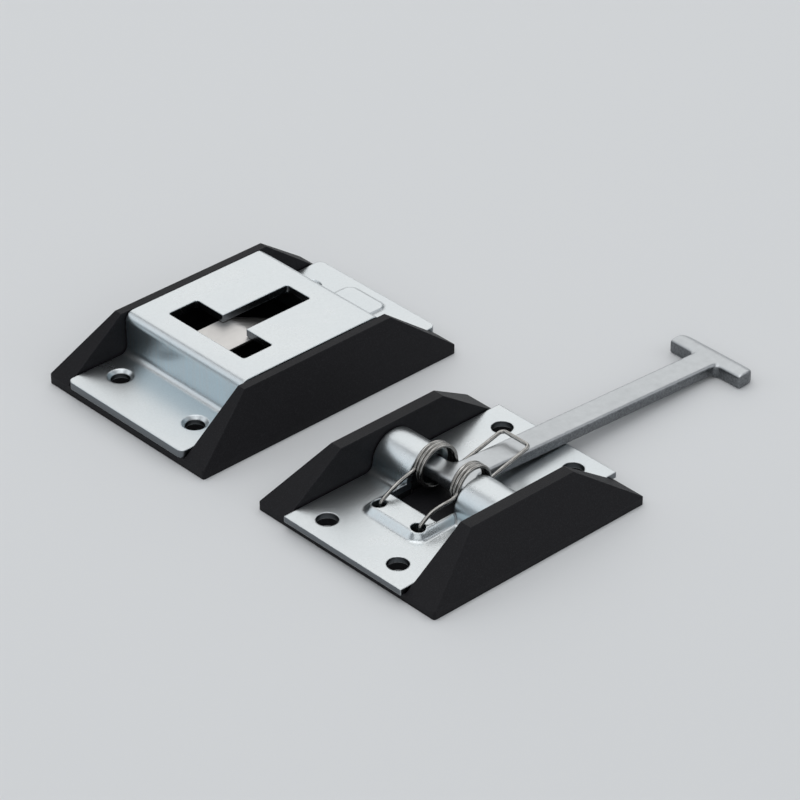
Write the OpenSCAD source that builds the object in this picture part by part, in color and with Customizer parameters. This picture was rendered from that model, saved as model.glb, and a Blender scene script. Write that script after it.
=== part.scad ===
// Trailer door holder in two halves, laid side by side on their mounting faces.
// The hinge half carries a sprung T-bar, the keeper half is the slotted hat that takes its head.
// Millimetres, +Z off the mounting face, +X along the T-bar, +Y toward the keeper half.

/* [Layout] */
// Keeper half, its centre along the T-bar
keeper_x = 6.8; // [-10:0.2:20]
// Keeper half, its centre across from the hinge half
keeper_y = 91.4; // [86:0.2:110]

/* [Mouldings] */
// Thickness round the cored underside of both frames
moulding_t = 2.2; // [1.8:0.1:2.6]
// Thickness of the ribs across the cores
rib_t = 1.8; // [1.2:0.1:2.4]
// Distance of the ribs from the middle of a wall
rib_x = 12; // [8:0.5:14]
// Plan radius of the frame corners
frame_corner_r = 0.9; // [0.5:0.1:2]
// Gap between a steel plate and the walls beside it
plate_gap = 0.4; // [0.2:0.1:0.6]

/* [Hinge half frame] */
// How far the plate stands past each end of the frame
plate_overhang = 1.1; // [0:0.1:2]
// Thickness of the frame's floor
hook_floor = 2.4; // [2:0.1:2.8]
// Width of a side wall at its foot
hook_wall_w = 11.7; // [10:0.1:14]
// Height of the side walls
hook_wall_h = 16.6; // [15:0.2:18]
// Length of the slope at each end of a side wall
hook_end_run = 20.6; // [16:0.2:24]
// Width of the flat top of a side wall
hook_ledge_w = 4; // [3:0.1:4.8]

/* [Hinge plate] */
// Length of the plate
plate_len = 82.6; // [76:0.2:92]
// Width of the plate
plate_wid = 47.2; // [43:0.2:54]
// Sheet thickness of the plate
plate_t = 1.9; // [1.6:0.1:2.1]
// Screw holes, from the plate's ends
bolt_end = 7.7; // [6:0.1:9]
// Screw holes, from the plate's sides
bolt_side = 9.3; // [6:0.1:11]
// Diameter of the screw holes
bolt_d = 6.5; // [5:0.1:7]
// Front edge of the window, from the hinge line
window_front = 14.8; // [13:0.1:15.4]
// Rear edge of the window, from the hinge line
window_rear = 12.6; // [11.6:0.1:16]
// Clearance between a coil and the knuckle beside it
knuckle_clear = 0.33; // [0.2:0.01:0.6]
// Radius where a knuckle flares into the plate
knuckle_flare = 2.6; // [1.5:0.1:3]
// Rise of the spring pad over the plate
pad_rise = 2.4; // [2.2:0.1:2.8]
// Half width of the pad's flat top
pad_half = 9.8; // [9.4:0.1:10.6]
// Front end of the pad's flat top, from the hinge line
pad_front = 22.4; // [22.2:0.1:23.4]
// Slope of the pad's sides, in degrees
pad_slope = 50; // [40:1:54]
// Radius at the top and foot of the pad's sides
pad_r = 1.6; // [1:0.1:1.6]
// Plan radius of the pad's front corners
pad_corner_r = 2.4; // [1.8:0.1:3]

/* [T-bar] */
// Diameter of the trunnions
trunnion_d = 12.5; // [12:0.1:12.8]
// Running clearance round a trunnion
trunnion_clear = 0.05; // [0.02:0.01:0.1]
// Height of the trunnions off the mounting face
trunnion_lift = 0.15; // [0.1:0.05:0.4]
// How far a trunnion ends inside its knuckle at the frame's wall
trunnion_inset = 0.6; // [0.3:0.1:1.5]
// How far a trunnion begins inside its knuckle at the root
trunnion_recess = 1.5; // [0.5:0.1:3]
// Reach from the hinge line to the back of the head
bar_reach = 102.4; // [92:0.2:130]
// Width of the shank
shank_w = 9.2; // [8.4:0.1:9.4]
// Thickness of the shank
shank_t = 3.9; // [3.4:0.1:4.4]
// Radius of the shank's upper edges
shank_r = 1.1; // [0.6:0.1:1.5]
// Gap under the shank at the plate's rear edge
shank_seat = 0.1; // [0.05:0.05:0.3]
// Height of the shank's underside where it meets the head
shank_end = 0.75; // [0.4:0.05:1]
// Front face of the flat root, from the hinge line
root_front = 2.5; // [2:0.1:3.2]
// Rear face of the flat root, from the hinge line
root_rear = 4.4; // [3.6:0.1:4.5]
// Plan radius between root and shank
root_fillet_r = 1.6; // [0.8:0.1:1.8]
// Width of the head across the shank
head_w = 28; // [24:0.2:32]
// Depth of the head along the shank
head_d = 6.9; // [6:0.1:8]
// Thickness of the head
head_t = 4.7; // [4.4:0.1:5.4]
// Plan radius of the head's outer corners
head_corner_r = 3; // [1:0.1:3.2]
// Radius of the head's domed top
head_dome_r = 6.5; // [5:0.1:9]
// Crest of the dome, from the back of the head
head_crest = 2.8; // [2.4:0.1:3.4]
// Plan radius between shank and head
head_fillet_r = 1.8; // [1:0.1:2.6]

/* [Torsion spring] */
// Diameter of the spring wire
wire_d = 1.2; // [1:0.05:1.2]
// Clear space between turns
turn_gap = 0.05; // [0.03:0.01:0.08]
// Mean radius of the coils
coil_r = 6.4; // [6.4:0.05:6.8]
// Centre of the coils over the hinge line
coil_lift = 4; // [3.8:0.1:4.2]
// Centre of the coils behind the hinge line
coil_shift = 0.5; // [0.3:0.1:0.8]
// Side clearance between coil and root
coil_side = 0.3; // [0.2:0.05:0.4]
// Bridge of the spring, from the hinge line
bridge_x = 25; // [22:0.1:28]
// Clear height of the bridge over the shank
bridge_lift = 2.3; // [1:0.1:3]
// Spacing of the spring holes across the pad
spring_hole_y = 15.8; // [15:0.1:16.4]
// Spring holes, from the hinge line
spring_hole_x = 20.1; // [19:0.1:20.4]
// Diameter of the spring holes
spring_hole_d = 4.4; // [3.6:0.1:4.6]

/* [Keeper frame] */
// How far the hat plate stands past each end of the keeper frame
hat_overhang = 0.4; // [0:0.1:2]
// Thickness of the keeper frame's floor
keep_floor = 2.8; // [2.4:0.1:3.2]
// Width of a keeper wall at its foot
keep_wall_w = 8.6; // [7:0.1:11]
// Height of the keeper's side walls
keep_wall_h = 18.6; // [16:0.2:20]
// Length of the slope at each end of a keeper wall
keep_end_run = 20.8; // [16:0.2:24]
// Width of the flat top of a keeper wall
keep_ledge_w = 2.8; // [2:0.1:3.2]

/* [Keeper plate] */
// Length of the hat plate over its flanges
hat_len = 98.8; // [92:0.2:112]
// Width of the hat plate
hat_wid = 51.2; // [47:0.2:58]
// Sheet thickness of the hat plate
hat_t = 2.5; // [2.2:0.1:2.8]
// Length of a flange from its end to the riser
flange_len = 22.4; // [20:0.2:24]
// Height of the hat's top face
hat_h = 18.8; // [17.6:0.2:20]
// Outside radius of the hat's upper bends
hat_bend_r = 3; // [2.9:0.1:3.6]
// Radius at the foot of the risers
hat_foot_r = 2.4; // [1:0.1:3]
// Plan radius of the flange corners
hat_corner_r = 2; // [1:0.1:5]
// Keeper's screw holes, from the ends of the flanges
keep_bolt_end = 12.6; // [8:0.1:13.4]
// Keeper's screw holes, from the sides of the hat
keep_bolt_side = 8.9; // [6:0.1:10]
// Diameter of the keeper's screw holes
keep_bolt_d = 5.8; // [5:0.1:6.2]
// Diameter of the dished rims of the screw holes
rim_d = 8; // [7:0.1:8.6]
// Depth of the dished rims
rim_depth = 0.9; // [0.5:0.1:1.2]
// Play at each end of the head in its slot
head_play = 2.8; // [1:0.1:4]
// Play of the head along the hat
head_run = 4.1; // [2:0.1:5]
// Front edge of the slot, from the front riser
slot_margin = 9; // [7:0.1:10]
// Play of the shank in the stem of the slot
stem_play = 1.2; // [0.8:0.1:2]
// Rear end of the stem, from the rear riser
stem_margin = 9; // [7:0.1:12]
// Radius of the slot's corners
slot_r = 0.9; // [0.4:0.1:1.4]
// Rise of the pocket on the rear flange
pocket_rise = 0.6; // [0.6:0.1:1]
// Slope of the pocket's sides, in degrees
pocket_slope = 38; // [30:1:45]
// Radius at the top of the pocket's sides
pocket_edge_r = 0.5; // [0.3:0.05:0.5]
// Flat top left round the leaf in the pocket
pocket_rim = 0.6; // [0.4:0.1:1.2]
// Plan radius of the pocket's rear corners
pocket_r = 2.4; // [1.3:0.1:3]
// Rear end of the pocket's flat top, from the end of the flange
pocket_margin = 4; // [3:0.1:6]

/* [Keeper leaf] */
// Width of the leaf
leaf_w = 14.2; // [12:0.1:15]
// Thickness of the leaf
leaf_t = 0.9; // [0.7:0.05:0.9]
// Gap between the leaf's crest and the hat
leaf_gap = 0.2; // [0.1:0.05:0.4]
// Front end of the leaf, from the inside of the front riser
crest_gap = 2.5; // [1.5:0.1:4]
// Foot of the leaf's slope, inside the pocket
leaf_foot = 0.4; // [0.2:0.05:0.8]
// Slope of the leaf behind its crest, in degrees
leaf_slope = 24; // [23:0.5:27]
// Mean radius of the leaf's two bends
leaf_bend_r = 6; // [4:0.1:6.4]
// Clearance round the leaf's tail
leaf_clear = 0.1; // [0.05:0.05:0.15]

/* [Hidden] */
$fn = 64;
far = 200;
eps = 0.02;
hook_len = plate_len - 2 * plate_overhang;
hook_wid = plate_wid + 2 * (plate_gap + hook_wall_w);
hook_ledge_len = hook_len - 2 * hook_end_run;
bolt_x = plate_len - 2 * bolt_end;
bolt_y = plate_wid - 2 * bolt_side;
plate_top = hook_floor + plate_t;
pad_top = plate_top + pad_rise;
hinge_z = trunnion_d / 2 + trunnion_lift;
bore_r = trunnion_d / 2 + trunnion_clear;
knuckle_r = bore_r + plate_t;
// Play round the trunnions in the frame's floor
floor_play = 0.5;
pad_cavity = plate_t * tan(pad_slope / 2);
// Rear ends of the pad's ridges in the knuckles, and of the hollow under them
pad_back = knuckle_r - plate_t / 2;
pad_hollow_back = knuckle_r + knuckle_flare;
// Slope of the shank, from the plate's rear edge down to the head
shank_fall = plate_top + shank_seat - shank_end;
shank_run = bar_reach - plate_len / 2;
shank_tilt = atan(shank_fall / shank_run);
shank_root = shank_end + bar_reach * tan(shank_tilt);
shank_lower_r = 0.4;
// Height of the head at its back, where its dome begins
head_back_t = head_t - head_dome_r + sqrt(head_dome_r * head_dome_r - head_crest * head_crest);
// Coils of the spring: their start and end in degrees, and the steps between
turn_pitch = wire_d + turn_gap;
coil_in = shank_w / 2 + coil_side + wire_d / 2;
coil_z = hinge_z + coil_lift;
coil_a0 = 4;
coil_a1 = 888;
coil_steps = 56;
coil_out = coil_in + turn_pitch * (coil_a1 - coil_a0) / 360;
knuckle_gap = 2 * (coil_out + wire_d / 2 + knuckle_clear);
// Ends of the flat root, and how far they run into the trunnions
root_end = knuckle_gap / 2 + trunnion_recess;
root_bite = 1;
// Bridge and arms: corner radius, and the bend where an arm joins its coil
bridge_z = shank_root + shank_t - bridge_x * tan(shank_tilt) + bridge_lift;
bridge_r = 1.6;
arm_drop = 2.8;
bend_run = 1.6;
wire_sides = 10;
// Legs: gap at the front of the hole, lead on the coil in degrees, lean in the hole, tip over the floor
leg_side_gap = 0.35;
leg_lead = 12;
leg_lean = 1;
leg_rise = 0.3;
leg_tip_lift = 1.2;
leg_tip = hook_floor + leg_tip_lift;
leg_y = spring_hole_y / 2;
leg_front = coil_r - coil_shift;
leg_hole = spring_hole_x - spring_hole_d / 2 + wire_d / 2 + leg_side_gap;
leg_span = leg_hole - leg_front;
// Shape of a leg: shares of its run to the hole, of its sideways shift, of the coil's radius over its axis
leg_knots = [[0.07, 0, 0.06], [0.22, 0, -0.015], [0.46, 0.5, -0.08], [0.73, 1, -0.23]];
// Keeper half, measured from the middle of the hat
keep_len = hat_len - 2 * hat_overhang;
keep_wid = hat_wid + 2 * (plate_gap + keep_wall_w);
keep_ledge_len = keep_len - 2 * keep_end_run;
keep_bolt_x = hat_len - 2 * keep_bolt_end;
keep_bolt_y = hat_wid - 2 * keep_bolt_side;
hat_box = hat_len - 2 * flange_len;
hat_top_low = hat_h - hat_t;
flange_top = keep_floor + hat_t;
slot_w = head_w + 2 * head_play;
slot_l = head_d + head_run;
slot_front = hat_box / 2 - slot_margin;
stem_w = shank_w + stem_play;
stem_end = hat_box / 2 - stem_margin;
pocket_start = hat_box / 2 - hat_t;
pocket_back = hat_box / 2 - hat_t / 2;
pocket_end = hat_len / 2 - pocket_margin;
pocket_half = leaf_w / 2 + pocket_rim;
crest_z = hat_top_low - leaf_gap - leaf_t / 2;
tail_z = keep_floor + leaf_clear / 2 + leaf_t / 2;
leaf_drop = crest_z - tail_z;
leaf_ramp = (leaf_drop - 2 * leaf_bend_r * (1 - cos(leaf_slope))) / sin(leaf_slope);
leaf_reach = 2 * leaf_bend_r * sin(leaf_slope) + leaf_ramp * cos(leaf_slope);
tail_start = pocket_start + leaf_foot;
tail_margin = 1;
crest_end = leaf_reach - tail_start;
crest_len = pocket_start - crest_gap - crest_end;

// Flat outline with rounded corners, centred
module rounded(l, w, r) {
    square([l - 2 * r, w], center = true);
    square([l, w - 2 * r], center = true);
    for (x = [-1, 1], y = [-1, 1])
        translate([x * (l / 2 - r), y * (w / 2 - r)])
            circle(r);
}

// Stands an outline drawn in length and height on edge, with its width across the T-bar
module across(w) {
    rotate([90, 0, 0])
        linear_extrude(height = w, center = true)
            children();
}

// Stands an outline drawn in width and height on edge, with its length along the T-bar
module along(l) {
    rotate([90, 0, 90])
        linear_extrude(height = l, center = true)
            children();
}

// Fills the inner corner at the origin with a hollow radius
module corner_fill(r) {
    difference() {
        translate([-eps, -eps])
            square(r + eps);
        translate([r, r])
            circle(r);
    }
}

// Raised flat with sloped sides that round off at the top
module mound(half, rise, slope, r) {
    t = r * tan(slope / 2);
    run = rise / tan(slope);
    polygon([[-half - run, -eps], [-half - run, 0], [-half - t * cos(slope), rise - t * sin(slope)],
        [-half + t, rise], [half - t, rise], [half + t * cos(slope), rise - t * sin(slope)],
        [half + run, 0], [half + run, -eps]]);
    for (s = [-1, 1])
        intersection() {
            translate([s * (half - t), rise - r])
                circle(r);
            translate([-far / 2, 0])
                square([far, rise + r]);
        }
}

// The same with hollow radii at the foot of its sides
module swell(half, rise, slope, r) {
    t = r * tan(slope / 2);
    run = rise / tan(slope);
    mound(half, rise, slope, r);
    for (s = [0, 1])
        mirror([s, 0])
            difference() {
                polygon([[half + run - t * cos(slope), t * sin(slope)], [half + run + t, 0],
                    [half + run + t, -eps], [half + run - t * cos(slope), -eps]]);
                translate([half + run + t, r])
                    circle(r);
            }
}

// Raised pressing from back to front along the T-bar, its front end with rounded corners
module pressing(half, front, back, corner, rise, slope, r, foot) {
    translate([(front - corner + back) / 2, 0, 0])
        along(front - corner - back)
            pressed(half, rise, slope, r, foot);
    intersection() {
        across(2 * (half - corner))
            pressed(front, rise, slope, r, foot);
        translate([back, -far / 2, -far / 2])
            cube(far);
    }
    for (s = [-1, 1])
        translate([front - corner, s * (half - corner), 0])
            rotate_extrude()
                intersection() {
                    pressed(corner, rise, slope, r, foot);
                    translate([0, -far / 2])
                        square(far);
                }
}

// Section of a pressing, with a soft or a crisp foot
module pressed(half, rise, slope, r, foot) {
    if (foot)
        swell(half, rise, slope, r);
    else
        mound(half, rise, slope, r);
}

// Side wall of a frame, sloped outward and at both ends, kept back all round by inset for its core
module wall(len, wid, inner, low, high, ledge_l, ledge_w, inset) {
    side = atan((wid / 2 - inner - ledge_w) / (high - low));
    end = atan((len - ledge_l) / 2 / (high - low));
    side_y = wid / 2 - inset / cos(side) + low * tan(side);
    end_x = len / 2 - inset / cos(end) + low * tan(end);
    intersection() {
        translate([-len / 2 + inset, inner + inset, 0])
            cube([len - 2 * inset, wid / 2 - inner - 2 * inset, high - inset]);
        along(len)
            polygon([[0, 0], [side_y, 0], [side_y - high * tan(side), high], [0, high]]);
        across(2 * wid)
            polygon([[-end_x, 0], [end_x, 0], [end_x - high * tan(end), high],
                [high * tan(end) - end_x, high]]);
    }
}

// Moulded frame: floor and two walls, the walls cored from below with cross ribs
module frame(len, wid, inner, low, high, ledge_l, ledge_w) {
    difference() {
        intersection() {
            union() {
                linear_extrude(height = low)
                    square([len, 2 * inner + eps], center = true);
                for (s = [0, 1])
                    mirror([0, s, 0])
                        wall(len, wid, inner, low, high, ledge_l, ledge_w, 0);
            }
            linear_extrude(height = high)
                rounded(len, wid, frame_corner_r);
        }
        for (s = [0, 1])
            mirror([0, s, 0])
                difference() {
                    translate([0, 0, -eps])
                        wall(len, wid, inner, low, high, ledge_l, ledge_w, moulding_t);
                    for (x = [-rib_x, rib_x])
                        translate([x - rib_t / 2, 0, -2 * eps])
                            cube([rib_t, wid, high]);
                }
    }
}

// Four like holes on a rectangle
module four(dx, dy) {
    for (x = [-1, 1], y = [-1, 1])
        translate([x * dx / 2, y * dy / 2, 0])
            children();
}

// Moulded frame of the hinge half, its floor open under the two trunnions
module hook_frame() {
    color([0.13, 0.13, 0.14])
        difference() {
            frame(hook_len, hook_wid, plate_wid / 2 + plate_gap, hook_floor, hook_wall_h,
                hook_ledge_len, hook_ledge_w);
            for (s = [-1, 1])
                translate([0, s * (root_end + plate_wid / 2 - trunnion_inset) / 2, -eps])
                    linear_extrude(height = hook_floor + 2 * eps)
                        square([trunnion_d + 2 * floor_play,
                            plate_wid / 2 - trunnion_inset - root_end + 2 * floor_play], center = true);
            translate([0, 0, -eps])
                four(bolt_x, bolt_y)
                    cylinder(h = hook_floor + 2 * eps, d = bolt_d);
        }
}

// Outline of a knuckle: an arch of the sheet flared into the plate on both sides
module knuckle_outline() {
    difference() {
        union() {
            translate([0, hinge_z])
                circle(knuckle_r);
            translate([-knuckle_r, hook_floor])
                square([2 * knuckle_r, hinge_z - hook_floor]);
            for (s = [0, 1])
                mirror([s, 0])
                    translate([knuckle_r, plate_top])
                        corner_fill(knuckle_flare);
        }
        translate([-far / 2, hook_floor - far])
            square([far, far]);
    }
}

// Hinge plate: one stamping with window, spring pad and two knuckles
module hook_plate() {
    color([0.80, 0.83, 0.86])
        difference() {
            union() {
                translate([0, 0, hook_floor])
                    linear_extrude(height = plate_t)
                        square([plate_len, plate_wid], center = true);
                translate([0, 0, plate_top])
                    mirror([1, 0, 0])
                        pressing(pad_half, pad_front, pad_back, pad_corner_r, pad_rise, pad_slope, pad_r, true);
                for (s = [-1, 1])
                    translate([0, s * (knuckle_gap + plate_wid) / 4, 0])
                        across((plate_wid - knuckle_gap) / 2)
                            knuckle_outline();
            }
            translate([0, 0, hook_floor])
                mirror([1, 0, 0])
                    pressing(pad_half - pad_cavity, pad_front - pad_cavity, pad_hollow_back,
                        pad_corner_r - pad_cavity, pad_rise, pad_slope, pad_r, true);
            translate([0, 0, hinge_z])
                rotate([90, 0, 0])
                    cylinder(h = far, r = bore_r, center = true);
            translate([-bore_r, -far / 2, 0])
                cube([2 * bore_r, far, hinge_z]);
            translate([(window_rear - window_front) / 2, 0, 0])
                linear_extrude(height = far)
                    square([window_front + window_rear, knuckle_gap], center = true);
            four(bolt_x, bolt_y)
                cylinder(h = far, d = bolt_d, center = true);
            for (s = [-1, 1])
                translate([-spring_hole_x, s * spring_hole_y / 2, 0])
                    cylinder(h = far, d = spring_hole_d, center = true);
        }
}

// Section of the shank with rounded upper edges
module shank_section() {
    translate([-shank_w / 2, shank_lower_r])
        square([shank_w, shank_t - shank_r - shank_lower_r]);
    translate([-shank_w / 2 + shank_r, shank_lower_r])
        square([shank_w - 2 * shank_r, shank_t - shank_lower_r]);
    translate([-shank_w / 2 + shank_lower_r, 0])
        square([shank_w - 2 * shank_lower_r, shank_t / 2]);
    for (s = [-1, 1]) {
        translate([s * (shank_w / 2 - shank_r), shank_t - shank_r])
            circle(shank_r);
        translate([s * (shank_w / 2 - shank_lower_r), shank_lower_r])
            circle(shank_lower_r);
    }
}

// Plan of the root: a flat cross bar into the trunnions, with hollow corners into the shank
module root_plan() {
    translate([-root_front, -root_end - root_bite])
        square([root_front + root_rear, 2 * (root_end + root_bite)]);
    for (s = [0, 1])
        mirror([0, s])
            translate([root_rear, shank_w / 2])
                corner_fill(root_fillet_r);
}

// T-bar: trunnions, flat root, shank and head in one casting
module t_bar() {
    color([0.74, 0.76, 0.78]) {
        for (s = [0, 1])
            mirror([0, s, 0])
                translate([0, plate_wid / 2 - trunnion_inset, hinge_z])
                    rotate([90, 0, 0])
                        cylinder(h = plate_wid / 2 - root_end - trunnion_inset, d = trunnion_d);
        translate([0, 0, shank_root])
            rotate([0, shank_tilt, 0]) {
                intersection() {
                    linear_extrude(height = shank_t)
                        root_plan();
                    across(far)
                        union() {
                            translate([-root_front, 0])
                                square([far, shank_t - shank_r]);
                            translate([-root_front + shank_r, 0])
                                square([far, shank_t]);
                            translate([-root_front + shank_r, shank_t - shank_r])
                                circle(shank_r);
                        }
                }
                rotate([90, 0, 90])
                    linear_extrude(height = (bar_reach + head_d / 2) / cos(shank_tilt))
                        shank_section();
            }
        t_head();
    }
}

// Head of the T-bar: square at its back, domed on top, rounded at the outer corners
module t_head() {
    intersection() {
        linear_extrude(height = far)
            union() {
                translate([bar_reach, -head_w / 2 + head_corner_r])
                    square([head_d, head_w - 2 * head_corner_r]);
                translate([bar_reach, -head_w / 2])
                    square([head_d - head_corner_r, head_w]);
                for (s = [-1, 1])
                    translate([bar_reach + head_d - head_corner_r, s * (head_w / 2 - head_corner_r)])
                        circle(head_corner_r);
                for (s = [0, 1])
                    mirror([0, s])
                        translate([bar_reach, shank_w / 2])
                            mirror([1, 0])
                                corner_fill(head_fillet_r);
            }
        across(head_w)
            union() {
                translate([bar_reach - head_fillet_r, 0])
                    square([head_fillet_r + eps, head_back_t]);
                intersection() {
                    translate([bar_reach, 0])
                        square([head_d, head_t]);
                    translate([bar_reach + head_crest, head_t - head_dome_r])
                        circle(head_dome_r);
                }
            }
    }
}

// Wire path of one side of the spring, from the middle of the bridge to the tip of the leg
function coil_at(a) = [coil_shift + coil_r * cos(a),
    coil_in + (coil_out - coil_in) * (a - coil_a0) / (coil_a1 - coil_a0), coil_z + coil_r * sin(a)];
function coil_way(a) = [-sin(a), 0, cos(a)];
function blend3(a, b, c, t) = (1 - t) * (1 - t) * a + 2 * t * (1 - t) * b + t * t * c;
function smooth(p, i, t) = let (a = p[max(i - 1, 0)], b = p[i], c = p[i + 1],
    d = p[min(i + 2, len(p) - 1)])
    0.5 * (2 * b + (c - a) * t + (2 * a - 5 * b + 4 * c - d) * t * t + (3 * b - a - 3 * c + d) * t * t * t);
arm_top = [bridge_x, coil_in, bridge_z];
arm_low = [coil_shift + coil_r + bend_run, coil_in, coil_z - arm_drop];
arm_way = (arm_low - arm_top) / norm(arm_low - arm_top);
bridge_arc = [for (t = [0:15:90]) [bridge_x, coil_in - bridge_r, bridge_z]
    + [0, bridge_r * sin(t), 0] + bridge_r * (1 - cos(t)) * arm_way];
arm_bend = [for (t = [0:0.2:0.8]) blend3(arm_low, coil_at(coil_a0) - arm_drop * coil_way(coil_a0),
    coil_at(coil_a0), t)];
coil_turns = [for (i = [0:coil_steps]) coil_at(coil_a0 + (coil_a1 - coil_a0) * i / coil_steps)];
leg_keys = concat([coil_at(coil_a1 - leg_lead), coil_at(coil_a1)],
    [for (k = leg_knots)
        [-leg_front - k[0] * leg_span, coil_out + k[1] * (leg_y - coil_out), coil_z + k[2] * coil_r]],
    [[-leg_hole, leg_y, pad_top + leg_rise], [-leg_hole - leg_lean * 2 / 3, leg_y, pad_top - plate_t / 2],
    [-leg_hole - leg_lean, leg_y, leg_tip]]);
leg = [for (i = [1:len(leg_keys) - 2], t = [0.2:0.2:1]) smooth(leg_keys, i, t)];
half_wire = concat(bridge_arc, arm_bend, coil_turns, leg);
function flip(p) = [p[0], -p[1], p[2]];
wire_path = concat([for (i = [len(half_wire) - 1:-1:0]) flip(half_wire[i])], half_wire);

// Sweeps a round wire along a path, its rings carried on without twist
module wire(path, d, sides) {
    last = len(path) - 1;
    ways = [for (i = [0:last]) let (v = path[min(i + 1, last)] - path[max(i - 1, 0)]) v / norm(v)];
    lay = [for (i = 0, n = cross(ways[0], [0, 1, 0]); i <= last; i = i + 1,
        n = let (w = ways[min(i, last)], q = n - (n * w) * w) q / norm(q)) n / norm(n)];
    rings = [for (i = [0:last], k = [0:sides - 1])
        path[i] + d / 2 * (cos(360 * k / sides) * lay[i] + sin(360 * k / sides) * cross(ways[i], lay[i]))];
    skin = [for (i = [0:last - 1], k = [0:sides - 1], h = [0, 1]) let (a = i * sides + k,
        b = i * sides + (k + 1) % sides) h == 0 ? [a, a + sides, b] : [b, a + sides, b + sides]];
    caps = [[for (k = [0:sides - 1]) k], [for (k = [sides - 1:-1:0]) last * sides + k]];
    polyhedron(points = rings, faces = concat(skin, caps), convexity = 10);
}

// Double torsion spring in one wire
module torsion_spring() {
    color([0.62, 0.61, 0.58])
        wire(wire_path, wire_d, wire_sides);
}

// Moulded frame of the keeper half
module keeper_frame() {
    color([0.13, 0.13, 0.14])
        translate([keeper_x, keeper_y, 0])
            difference() {
                frame(keep_len, keep_wid, hat_wid / 2 + plate_gap, keep_floor, keep_wall_h,
                    keep_ledge_len, keep_ledge_w);
                translate([0, 0, -eps])
                    four(keep_bolt_x, keep_bolt_y)
                        cylinder(h = keep_floor + 2 * eps, d = keep_bolt_d);
            }
}

// Outline of the hat: top, two risers and two flanges with their bends
module hat_outline() {
    for (s = [0, 1])
        mirror([s, 0])
            difference() {
                union() {
                    translate([-eps, keep_floor])
                        square([hat_box / 2 + eps - hat_bend_r, hat_h - keep_floor]);
                    translate([-eps, keep_floor])
                        square([hat_box / 2 + eps, hat_h - keep_floor - hat_bend_r]);
                    translate([hat_box / 2 - hat_bend_r, hat_h - hat_bend_r])
                        circle(hat_bend_r);
                    translate([0, keep_floor])
                        square([hat_len / 2, hat_t]);
                    translate([hat_box / 2, flange_top])
                        corner_fill(hat_foot_r);
                }
                translate([-2 * eps, keep_floor - eps])
                    square([pocket_start + 2 * eps, hat_h - hat_bend_r - keep_floor + eps]);
                translate([-2 * eps, keep_floor - eps])
                    square([pocket_start - hat_bend_r + hat_t + 2 * eps, hat_top_low - keep_floor + eps]);
                translate([pocket_start - hat_bend_r + hat_t, hat_h - hat_bend_r])
                    circle(hat_bend_r - hat_t);
            }
}

// Hat plate of the keeper: T-slot, flanges with dished screw holes, pocket for the leaf's tail
module keeper_plate() {
    color([0.82, 0.85, 0.87])
        translate([keeper_x, keeper_y, 0])
            difference() {
                union() {
                    intersection() {
                        across(hat_wid)
                            hat_outline();
                        linear_extrude(height = far)
                            rounded(hat_len, hat_wid, hat_corner_r);
                    }
                    translate([0, 0, flange_top])
                        pressing(pocket_half, pocket_end, pocket_back, pocket_r, pocket_rise, pocket_slope,
                            pocket_edge_r, false);
                }
                translate([-slot_front + slot_l / 2, 0, hat_top_low - eps])
                    linear_extrude(height = far)
                        rounded(slot_l, slot_w, slot_r);
                translate([(stem_end - slot_front + slot_l - 2 * slot_r) / 2, 0, hat_top_low - eps])
                    linear_extrude(height = far)
                        rounded(stem_end + slot_front - slot_l + 2 * slot_r, stem_w, slot_r);
                four(keep_bolt_x, keep_bolt_y)
                    cylinder(h = far, d = keep_bolt_d, center = true);
                four(keep_bolt_x, keep_bolt_y)
                    translate([0, 0, flange_top - rim_depth])
                        cylinder(h = rim_depth + eps, d1 = keep_bolt_d, d2 = rim_d);
                translate([pocket_start - eps, -leaf_w / 2 - leaf_clear, 0])
                    cube([pocket_end - pocket_rim - pocket_start, leaf_w + 2 * leaf_clear,
                        keep_floor + leaf_t + leaf_clear]);
            }
}

// Curved length of the leaf: ring about the origin between two angles
module leaf_bend(a0, a1) {
    intersection() {
        difference() {
            circle(leaf_bend_r + leaf_t / 2);
            circle(leaf_bend_r - leaf_t / 2);
        }
        polygon([[0, 0], far * [cos(a0), sin(a0)], far * [cos((a0 + a1) / 2), sin((a0 + a1) / 2)],
            far * [cos(a1), sin(a1)]]);
    }
}

// Outline of the leaf: flat crest under the slot, ramp down, flat tail on the floor
module leaf_outline() {
    translate([-crest_end - crest_len, crest_z - leaf_t / 2])
        square([crest_len + eps, leaf_t]);
    translate([-crest_end, crest_z - leaf_bend_r])
        leaf_bend(90 - leaf_slope - eps, 90);
    translate([-crest_end + leaf_bend_r * sin(leaf_slope), crest_z - leaf_bend_r * (1 - cos(leaf_slope))])
        rotate(-leaf_slope)
            translate([-eps, -leaf_t / 2])
                square([leaf_ramp + 2 * eps, leaf_t]);
    translate([tail_start, tail_z + leaf_bend_r])
        leaf_bend(270 - leaf_slope - eps, 270);
    translate([tail_start - eps, tail_z - leaf_t / 2])
        square([pocket_end - pocket_rim - tail_margin - tail_start + eps, leaf_t]);
}

// Leaf spring of the keeper
module keeper_leaf() {
    color([0.78, 0.76, 0.73])
        translate([keeper_x, keeper_y, 0])
            across(leaf_w)
                leaf_outline();
}

hook_frame();
hook_plate();
t_bar();
torsion_spring();
keeper_frame();
keeper_plate();
keeper_leaf();
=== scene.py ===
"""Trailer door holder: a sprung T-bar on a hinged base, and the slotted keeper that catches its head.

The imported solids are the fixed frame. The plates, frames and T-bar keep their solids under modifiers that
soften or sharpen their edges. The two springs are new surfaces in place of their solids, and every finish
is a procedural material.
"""

import math

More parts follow.
